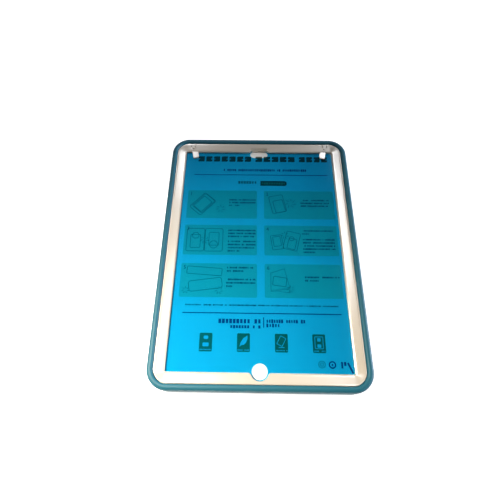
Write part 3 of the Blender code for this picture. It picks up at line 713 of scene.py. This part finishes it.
def slot_outline(width, height, steps=NOTCH_STEPS):
    """Slot with round ends round the origin, as (across, up) points."""
    radius = height / 2
    reach = max(width / 2 - radius, 0.02 * MM)
    points = []
    for side, start in ((1, -0.5), (-1, 0.5)):
        for step in range(steps // 2 + 1):
            angle = math.pi * (start + step / (steps // 2))
            points.append((side * reach + radius * math.cos(angle), radius * math.sin(angle)))
    return points


PORT_Z = 7.25 * MM


def wall_tool(name, side, along, width, height, stations):
    """Round-ended tool through the rim at one side; stations are (offset, growth) pairs."""
    rings = []
    for offset, growth in stations:
        ring = []
        for across, up in slot_outline(width + 2 * growth, height + 2 * growth):
            out = {"bottom": -CAVITY_Y - offset, "top": CAVITY_Y + offset, "right": CAVITY_X + offset}[side]
            spot = (out, along + across) if side == "right" else (along + across, out)
            ring.append((*spot, PORT_Z + up))
        rings.append(ring)
    return skinned(name, rings)


# Openings in the rim: name, side, place along it, width and height
RIM_OPENINGS = (("port", "bottom", 0.0, 14.0 * MM, 6.4 * MM),
                ("speaker_left", "bottom", -30.0 * MM, 22.0 * MM, 3.0 * MM),
                ("speaker_right", "bottom", 30.0 * MM, 22.0 * MM, 3.0 * MM),
                ("jack", "top", -69.95 * MM, 7.0 * MM, 7.0 * MM),
                ("microphone", "top", 0.0, 2.0 * MM, 2.0 * MM))
BUTTONS = (("power", "top", 62.75 * MM, 12.0 * MM), ("volume_up", "right", 79.0 * MM, 11.0 * MM),
           ("volume_down", "right", 64.0 * MM, 11.0 * MM))
BUTTON_HEIGHT = 4.4 * MM
BUTTON_CLEARANCE = 0.6 * MM


def home_notch():
    """Round notch in the lower edge of the opening, with flared shoulders."""
    drop = HOME_Y + OPENING_Y + HOME_SHOULDER
    reach = math.sqrt((HOME_NOTCH_RADIUS + HOME_SHOULDER) ** 2 - drop ** 2)
    meet = math.atan2(-drop, reach)
    half = NOTCH_STEPS // 2
    shoulder = []
    for step in range(half + 1):
        angle = math.pi / 2 + (meet + math.pi / 2) * step / half
        shoulder.append((reach + HOME_SHOULDER * math.cos(angle),
                         -OPENING_Y - HOME_SHOULDER + HOME_SHOULDER * math.sin(angle)))
    bowl = []
    for step in range(1, NOTCH_STEPS):
        angle = meet - (math.pi + 2 * meet) * step / NOTCH_STEPS
        bowl.append((HOME_NOTCH_RADIUS * math.cos(angle), HOME_Y + HOME_NOTCH_RADIUS * math.sin(angle)))
    top_y = -OPENING_Y + 2 * HOME_NOTCH_RADIUS
    return shoulder + bowl + [(-x, y) for x, y in reversed(shoulder)] + [(-reach, top_y), (reach, top_y)]


def camera_notch():
    """Flared notch in the upper edge of the opening, over the front camera."""
    foot = CAMERA_NOTCH_HALF + CAMERA_NOTCH_FLARE
    points = [(foot, OPENING_Y - CAMERA_NOTCH_DEPTH)]
    for step in range(NOTCH_STEPS // 2 + 1):
        share = step / (NOTCH_STEPS // 2)
        ease = share * share * (3 - 2 * share)
        points.append((foot - CAMERA_NOTCH_FLARE * share, OPENING_Y + CAMERA_NOTCH_DEPTH * ease))
    return points + [(-x, y) for x, y in reversed(points)]


FACE_RUN = CAVITY_Y + FRAME_EDGE - OPENING_Y
FACE_RISE = FRAME_TOP_Z - FRAME_INNER_Z


def face_z(inset):
    """Height of the sloping face at a distance outwards from the opening."""
    return FRAME_INNER_Z + FACE_RISE * inset / FACE_RUN


def camera_bevel():
    """Wedge that carries the face down to the camera notch."""
    low = face_z(CAMERA_NOTCH_DEPTH) - CAMERA_BEVEL_DEPTH
    high = face_z(CAMERA_NOTCH_DEPTH + CAMERA_BEVEL)
    notch_y = OPENING_Y + CAMERA_NOTCH_DEPTH
    lift = (high - low) / CAMERA_BEVEL
    stations = ((OPENING_Y, low, CAMERA_NOTCH_HALF), (notch_y, low, CAMERA_NOTCH_HALF),
                (notch_y + CAMERA_BEVEL, high, CAMERA_NOTCH_HALF + CAMERA_BEVEL_FLARE),
                (notch_y + CAMERA_BEVEL + CUT_MARGIN / lift, high + CUT_MARGIN,
                 CAMERA_NOTCH_HALF + CAMERA_BEVEL_FLARE))
    top = high + 2 * CUT_MARGIN
    return skinned("camera_bevel", [[(-half, y, z), (half, y, z), (half, y, top), (-half, y, top)]
                                    for y, z, half in stations])


TAB_X = 67.8 * MM
TAB_HALF = 3.1 * MM
TAB_LENGTH = 7.8 * MM
TAB_THICKNESS = 1.1 * MM
TAB_LEAN = math.radians(12.0)
TAB_ROOT = 1.5 * MM
TAB_ROUND = 0.65 * MM
TAB_CHAMFER = (1.3 * MM, 1.95 * MM)


def tab(side):
    """Canted tab with a clipped corner; its upper edges are eased."""
    rings = []
    for z, inset in ((FRAME_INNER_Z - TAB_THICKNESS, 0.0), (FRAME_INNER_Z - FRAME_INNER_BREAK, 0.0),
                     (FRAME_INNER_Z, FRAME_INNER_BREAK)):
        half, tip = TAB_HALF - inset, TAB_LENGTH - inset
        local = ((-half, TAB_ROOT), (-half, TAB_ROUND - tip), (TAB_ROUND - half, -tip),
                 (half - TAB_CHAMFER[0], -tip), (half, TAB_CHAMFER[1] - tip), (half, TAB_ROOT))
        ring = []
        for across, along in local:
            x = across * math.cos(TAB_LEAN) - along * math.sin(TAB_LEAN)
            y = across * math.sin(TAB_LEAN) + along * math.cos(TAB_LEAN)
            ring.append((side * (TAB_X - x), OPENING_Y + y, z))
        rings.append(ring)
    return skinned("tab", rings)


DIMPLE_X = 70.0 * MM
DIMPLE_BASE = 2.7 * MM
DIMPLE_OUTER = 2.6 * MM
DIMPLE_GROOVE = 0.9 * MM
DIMPLE_LEG = 4.6 * MM
DIMPLE_DEPTH = 0.7 * MM


def dimple(side):
    """U-shaped groove in the face, open towards the camera end."""
    inner = DIMPLE_OUTER - DIMPLE_GROOVE
    base = OPENING_Y + DIMPLE_BASE
    half = NOTCH_STEPS // 2
    outer_arc = [(DIMPLE_OUTER * math.cos(-math.pi * step / half),
                  DIMPLE_OUTER * math.sin(-math.pi * step / half)) for step in range(half + 1)]
    inner_arc = [(x * inner / DIMPLE_OUTER, y * inner / DIMPLE_OUTER) for x, y in reversed(outer_arc)]
    legs = DIMPLE_LEG - DIMPLE_OUTER
    outline = [(DIMPLE_OUTER, legs)] + outer_arc + [(-DIMPLE_OUTER, legs), (-inner, legs)] + inner_arc
    outline.append((inner, legs))
    points = [(side * DIMPLE_X + x, base + DIMPLE_OUTER + y) for x, y in outline]
    return slab("dimple", points, face_z(DIMPLE_BASE) - DIMPLE_DEPTH, FRAME_TOP_Z + CUT_MARGIN)


def frame_body():
    """The frame's section carried round: a square-cornered opening that opens out to round corners."""
    def opening(grow, z):
        """A ring round the screen opening."""
        return rounded_ring(OPENING_X + grow, OPENING_Y + grow, OPENING_RADIUS + grow, z)

    def rim(offset, z):
        """A ring round the tablet's cavity."""
        return rounded_ring(CAVITY_X + offset, CAVITY_Y + offset, CAVITY_RADIUS + offset, z)

    rings = [opening(0.0, FRAME_UNDER_Z), opening(0.0, FRAME_INNER_Z - FRAME_INNER_BREAK),
             opening(FRAME_INNER_BREAK, FRAME_INNER_Z)]
    inner, outer = rings[-1], rim(FRAME_EDGE - FRAME_OUTER_BREAK, FRAME_TOP_Z)
    for step in range(1, FACE_STEPS):
        share = step / FACE_STEPS
        rings.append([tuple(Vector(a).lerp(Vector(b), share)) for a, b in zip(inner, outer)])
    for step in range(EDGE_STEPS + 1):
        angle = math.pi / 2 * (1 - step / EDGE_STEPS)
        rings.append(rim(FRAME_EDGE - FRAME_OUTER_BREAK * (1 - math.cos(angle)),
                         FRAME_TOP_Z - FRAME_OUTER_BREAK * (1 - math.sin(angle))))
    for offset, z in ((FRAME_EDGE, FRAME_REBATE_Z), (FRAME_OUT, FRAME_REBATE_Z), (FRAME_OUT, FRAME_SKIRT_Z),
                      (SKIRT_IN, FRAME_SKIRT_Z), (SKIRT_IN, FRAME_UNDER_Z)):
        rings.append(rim(offset, z))
    return skinned("satin_front_frame", rings, closed=True)


def front_frame():
    """The frame with its notches, dimples and tabs, and the openings in its skirt."""
    through = (FRAME_UNDER_Z - CUT_MARGIN, FRAME_TOP_Z + CUT_MARGIN)
    tools = [slab("home_notch", home_notch(), *through), slab("camera_notch", camera_notch(), *through),
             camera_bevel(), dimple(-1), dimple(1)]
    skirt = ((SKIRT_IN - WALL_OVERLAP, 0.0), (FRAME_OUT + CUT_MARGIN, 0.0))
    room = 2 * BUTTON_CLEARANCE
    tools += [wall_tool(*opening, skirt) for opening in RIM_OPENINGS]
    tools += [wall_tool(name, side, along, length + room, BUTTON_HEIGHT + room, skirt)
              for name, side, along, length in BUTTONS]
    return cut(frame_body(), tools, joined=(tab(-1), tab(1)))


FRAME_PALE = 0xE3D8C6
FRAME_DEEP = 0xDFD3C0
FRAME_ROUGHNESS = (0.24, 0.26)
FRAME_GRAIN = 0.9
FRAME_GRAIN_RELIEF = 0.0003
FRAME_LACQUER = {"Metallic": 0.15, "IOR": 1.6, "Specular IOR Level": 1.0, "Coat Weight": 1.0,
                 "Coat Roughness": 0.22, "Coat IOR": 2.4}
# Polycarbonate under a satin pearl lacquer: cream where it mirrors the dark, white where it mirrors a lamp
frame_plastic, frame_shader = moulded_plastic(
    "lacquered_polycarbonate", FRAME_PALE, FRAME_DEEP, FRAME_ROUGHNESS, FRAME_GRAIN, FRAME_GRAIN_RELIEF)
for label, value in FRAME_LACQUER.items():
    frame_shader.inputs[label].default_value = value
piece("satin_front_frame", front_frame(), frame_plastic, "satin_frame", "front_frame")


# Bumper
# The soft sleeve, moulded in one piece of teal thermoplastic rubber and stretched over the tray.
# A round bead stands round the front. It has the rounded port holes, the covered buttons and the back lip.
BUMPER_OUT = 6.15 * MM
BUMPER_IN = 3.3 * MM
BEAD_IN = 0.85 * MM
BACK_LIP_IN = -6.85 * MM
BACK_LIP = 1.3 * MM
BACK_RADIUS = 2.6 * MM
LIP_BREAK = 0.5 * MM
BEAD_OUTER_RADIUS = 3.0 * MM
BEAD_INNER_RADIUS = 2.0 * MM
PIECE_GAP = 0.3 * MM
SECTION_STEPS = 12
BEAD_TOP_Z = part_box("bumper")[1].z


def section_arc(centre_out, centre_z, radius, start, end):
    """Points (offset, height) along an arc of the bumper's section, angles in degrees."""
    points = []
    for step in range(SECTION_STEPS + 1):
        angle = math.radians(start + (end - start) * step / SECTION_STEPS)
        points.append((centre_out + radius * math.cos(angle), centre_z + radius * math.sin(angle)))
    return points


def bumper_section():
    """The sleeve's closed section, as an edge loop of (offset, height)."""
    points = [(BEAD_IN, FRAME_REBATE_Z + PIECE_GAP), (BUMPER_IN, FRAME_REBATE_Z + PIECE_GAP),
              (BUMPER_IN, FRAME_SKIRT_Z - PIECE_GAP), (SKIRT_IN, FRAME_SKIRT_Z - PIECE_GAP),
              (SKIRT_IN, BACK_LIP), (BACK_LIP_IN, BACK_LIP)]
    points += section_arc(BACK_LIP_IN + LIP_BREAK, LIP_BREAK, LIP_BREAK, 180, 270)
    points += section_arc(BUMPER_OUT - BACK_RADIUS, BACK_RADIUS, BACK_RADIUS, -90, 0)
    outer, inner = BEAD_OUTER_RADIUS, BEAD_INNER_RADIUS
    points += section_arc(BUMPER_OUT - outer, BEAD_TOP_Z - outer, outer, 0, 90)
    points += section_arc(BEAD_IN + inner, BEAD_TOP_Z - inner, inner, 90, 180)
    loop = [(out / MM, -height / MM) for out, height in points]
    return polylines("bumper_section", [loop], 0.0, closed=True)


def sleeve_tree():
    """Carries a section round the rounded rectangle of the tray's inner wall."""
    tree, given = new_tree("sleeve", (
        ("Width", "Float", 0.17), ("Length", "Float", 0.24), ("Corner radius", "Float", 0.011),
        ("Corner steps", "Int", CORNER_STEPS), ("Material", "Material", None)))
    path = add(tree, "GeometryNodeCurvePrimitiveQuadrilateral", {
        "Width": given["Width"], "Height": given["Length"]})
    eased = add(tree, "GeometryNodeFilletCurve", {
        "Curve": path.outputs[0], "Count": given["Corner steps"], "Radius": given["Corner radius"]},
        mode="POLY")
    level = add(tree, "GeometryNodeSetCurveNormal", {"Curve": eased.outputs[0]}, mode="Z_UP")
    section = add(tree, "GeometryNodeMeshToCurve", {"Mesh": given["Geometry"]})
    sleeve = add(tree, "GeometryNodeCurveToMesh", {
        "Curve": level.outputs[0], "Profile Curve": section.outputs[0]})
    return end_tree(tree, given, sleeve.outputs[0])


MOUTH_ROUND = 0.5 * MM
DISH_MARGIN = 1.4 * MM
DISH_DEPTH = 1.0 * MM
DISH_FLARES = (0.0, 0.2 * MM, 0.6 * MM)
PAD_ROOT = 0.2 * MM
PAD_RISE = 0.7 * MM
PAD_ROUND = 0.5 * MM


def edge_round(top, radius, turn):
    """Stations of a round edge that ends at top and grows by turn times its radius."""
    stations = [(top - radius, 0.0)]
    for step in range(1, EDGE_STEPS + 1):
        angle = math.pi / 2 * step / EDGE_STEPS
        stations.append((top - radius * (1 - math.sin(angle)), turn * radius * (1 - math.cos(angle))))
    return stations


def soft_bumper():
    """The sleeve with its openings rounded over, and a pad in a dish at each button."""
    values = {"Width": 2 * CAVITY_X, "Length": 2 * CAVITY_Y, "Corner radius": CAVITY_RADIUS,
              "Corner steps": CORNER_STEPS}
    sleeve = grown("soft_bumper_sleeve", bumper_section(), sleeve_tree(), values)
    mouth = [(SKIRT_IN - WALL_OVERLAP, 0.0)] + edge_round(BUMPER_OUT, MOUTH_ROUND, 1)
    mouth.append((BUMPER_OUT + CUT_MARGIN, MOUTH_ROUND))
    dish_depths = (BUMPER_OUT - DISH_DEPTH, BUMPER_OUT - DISH_DEPTH / 2, BUMPER_OUT + CUT_MARGIN)
    dish = list(zip(dish_depths, DISH_FLARES))
    crown = [(PAD_ROOT, 0.0)] + edge_round(BUMPER_OUT - DISH_DEPTH + PAD_RISE, PAD_ROUND, -1)
    tools = [wall_tool(*opening, mouth) for opening in RIM_OPENINGS]
    pads = []
    for name, side, along, length in BUTTONS:
        tools.append(wall_tool(name + "_dish", side, along, length + 2 * DISH_MARGIN,
                               BUTTON_HEIGHT + 2 * DISH_MARGIN, dish))
        pads.append(wall_tool(name + "_pad", side, along, length, BUTTON_HEIGHT, crown))
    sleeve = smoothed("soft_bumper_sleeve", sleeve)
    return cut(cut(sleeve, tools), (), joined=pads)


BUMPER_PALE = 0x1A6376
BUMPER_DEEP = 0x165D70
BUMPER_ROUGHNESS = (0.46, 0.58)
BUMPER_SPECULAR = 0.42
BUMPER_GRAIN = 0.35
BUMPER_GRAIN_RELIEF = 0.02
# Thermoplastic rubber from a grained mould: soft, even and half matt
bumper_rubber, bumper_shader = moulded_plastic(
    "grained_soft_rubber", BUMPER_PALE, BUMPER_DEEP, BUMPER_ROUGHNESS, BUMPER_GRAIN, BUMPER_GRAIN_RELIEF)
bumper_shader.inputs["Specular IOR Level"].default_value = BUMPER_SPECULAR
piece("soft_bumper_sleeve", soft_bumper(), bumper_rubber, "soft_bumper", "bumper")


# Floor
# A plain white sheet under the case, which shows white to the camera and keeps a soft shadow.
FLOOR_HALF = 6.0
FLOOR_WHITE = 0xF2F2F2
FLOOR_GLOW = 0.9
FLOOR_Z = -0.05 * MM
corners = [(x * FLOOR_HALF, y * FLOOR_HALF, FLOOR_Z) for x, y in ((-1, -1), (1, -1), (1, 1), (-1, 1))]
floor_mesh = bpy.data.meshes.new("floor")
floor_mesh.from_pydata(corners, [], [(0, 1, 2, 3)])


def lit_rays(tree, mirrored_share=1.0):
    """1 for camera rays, the given share for gloss and transmission rays, and 0 for all others."""
    path = add(tree, "ShaderNodeLightPath").outputs
    mirrored = maths(tree, "MAXIMUM", path["Is Glossy Ray"], path["Is Transmission Ray"])
    return maths(tree, "MAXIMUM", path["Is Camera Ray"], maths(tree, "MULTIPLY", mirrored, mirrored_share))


def white_floor():
    """Matt white paper that adds a glow of its own for the camera and for mirrored rays only."""
    material, tree, _ = blank_material("white_floor")
    matt = add(tree, "ShaderNodeBsdfDiffuse", {"Color": srgb(FLOOR_WHITE)})
    glow = add(tree, "ShaderNodeEmission", {"Strength": maths(tree, "MULTIPLY", lit_rays(tree), FLOOR_GLOW)})
    finish(tree, add(tree, "ShaderNodeAddShader", {0: matt.outputs[0], 1: glow.outputs[0]}))
    return material


floor_mesh.materials.append(white_floor())
placed("floor", floor_mesh)


# Lamps
# A warm key softbox close on the left, with a grid that keeps its light to the lower left corner,
# three high panels that show white in the frame's sides, and a low cool window on the right.
KEY_PLACE = (-0.30, -0.06, 0.42)
KEY_TARGET = (-0.067, -0.182, 0.0)
KEY_SIZE = 0.16
KEY_SPREAD = 68.0
KEY_WATTS = 0.92
KEY_COLOUR = 0xFFF3DE
PANEL_HEIGHT = 3.0
PANEL_COLOUR = 0xF2F6FF
WINDOW_PLACE = (1.60, 0.10, 0.20)
WINDOW_TARGET = (-0.08, 0.02, 0.014)
WINDOW_SIZE = (0.60, 0.16)
WINDOW_WATTS = 30.0
WINDOW_COLOUR = 0xEBF1FF
LEFT_PANEL = (-1.12, 1.00, -0.77, 2.75)
RIGHT_PANEL_NEAR = (0.96, 0.20, 1.35, 1.30)
RIGHT_PANEL_FAR = (0.96, 2.28, 1.30, 3.10)
LEFT_PANEL_RADIANCE = 15.2
RIGHT_NEAR_RADIANCE = 8.5
RIGHT_FAR_RADIANCE = 18.5
WORLD_LEVEL = 0.02
BACKDROP_TOP = 0.12


def softbox(name, place, target, width, length, watts, colour, spread=180.0):
    """A rectangular lamp at place, turned towards target, hidden from the camera."""
    lamp = bpy.data.lights.new(name, "AREA")
    lamp.shape = "RECTANGLE"
    lamp.size = width
    lamp.size_y = length
    lamp.energy = watts
    lamp.spread = math.radians(spread)
    lamp.color = srgb(colour)[:3]
    holder = placed(name, lamp)
    holder.location = place
    holder.rotation_euler = (Vector(target) - Vector(place)).to_track_quat("-Z", "Y").to_euler()
    holder.visible_camera = False


def panel(name, spot, radiance):
    """A panel overhead that faces straight down, from its corners (left, near, right, far)."""
    left, near, right, far = spot
    place = ((left + right) / 2, (near + far) / 2, PANEL_HEIGHT)
    width, length = right - left, far - near
    softbox(name, place, (place[0], place[1], 0.0), width, length, radiance * math.pi * width * length,
            PANEL_COLOUR)


softbox("key_softbox", KEY_PLACE, KEY_TARGET, KEY_SIZE, KEY_SIZE, KEY_WATTS, KEY_COLOUR, KEY_SPREAD)
softbox("low_window", WINDOW_PLACE, WINDOW_TARGET, *WINDOW_SIZE, WINDOW_WATTS, WINDOW_COLOUR)
panel("left_panel", LEFT_PANEL, LEFT_PANEL_RADIANCE)
panel("right_panel_near", RIGHT_PANEL_NEAR, RIGHT_NEAR_RADIANCE)
panel("right_panel_far", RIGHT_PANEL_FAR, RIGHT_FAR_RADIANCE)

world = bpy.data.worlds.new("studio")
world.use_nodes = True
room = world.node_tree
room.nodes.clear()
# The room is dark overhead and dim all round; its white backdrop is for the camera, and low down for gloss
aim = add(room, "ShaderNodeSeparateXYZ", {0: add(room, "ShaderNodeTexCoord").outputs["Generated"]})
backdrop = add(room, "ShaderNodeMapRange", {"Value": aim.outputs["Z"], "From Min": BACKDROP_TOP,
                                            "From Max": BACKDROP_TOP / 2})
level = add(room, "ShaderNodeMapRange", {"Value": lit_rays(room, backdrop.outputs[0]), "To Min": WORLD_LEVEL,
                                         "To Max": 1.0})
air = add(room, "ShaderNodeBackground", {"Color": (1.0, 1.0, 1.0, 1.0), "Strength": level.outputs["Result"]})
add(room, "ShaderNodeOutputWorld", {"Surface": air.outputs[0]})
bpy.context.scene.world = world


# Camera
# A phone held over the lower half of the case: its place, turn and picture centre were fitted
# to the outlines of the frame, the film and the bumper in the 500 by 500 picture.
PICTURE = 500.0
FOCAL_PIXELS = 360.0
CENTRE_PIXEL = (242.6, 252.35)
SENSOR_WIDTH = 36.0
CAMERA_PLACE = (-11.1 * MM, -145.8 * MM, 316.6 * MM)
CAMERA_TURN = (24.83, 0.389, 0.921)
camera_data = bpy.data.cameras.new("camera")
camera_data.sensor_width = SENSOR_WIDTH
camera_data.lens = FOCAL_PIXELS / PICTURE * SENSOR_WIDTH
camera_data.shift_x = (PICTURE / 2 - CENTRE_PIXEL[0]) / PICTURE
camera_data.shift_y = (CENTRE_PIXEL[1] - PICTURE / 2) / PICTURE
camera_data.clip_start = 0.01
camera = placed("camera", camera_data)
camera.location = CAMERA_PLACE
camera.rotation_euler = Euler([math.radians(angle) for angle in CAMERA_TURN], "XYZ")
bpy.context.scene.camera = camera
bpy.context.scene.view_settings.view_transform = "Standard"
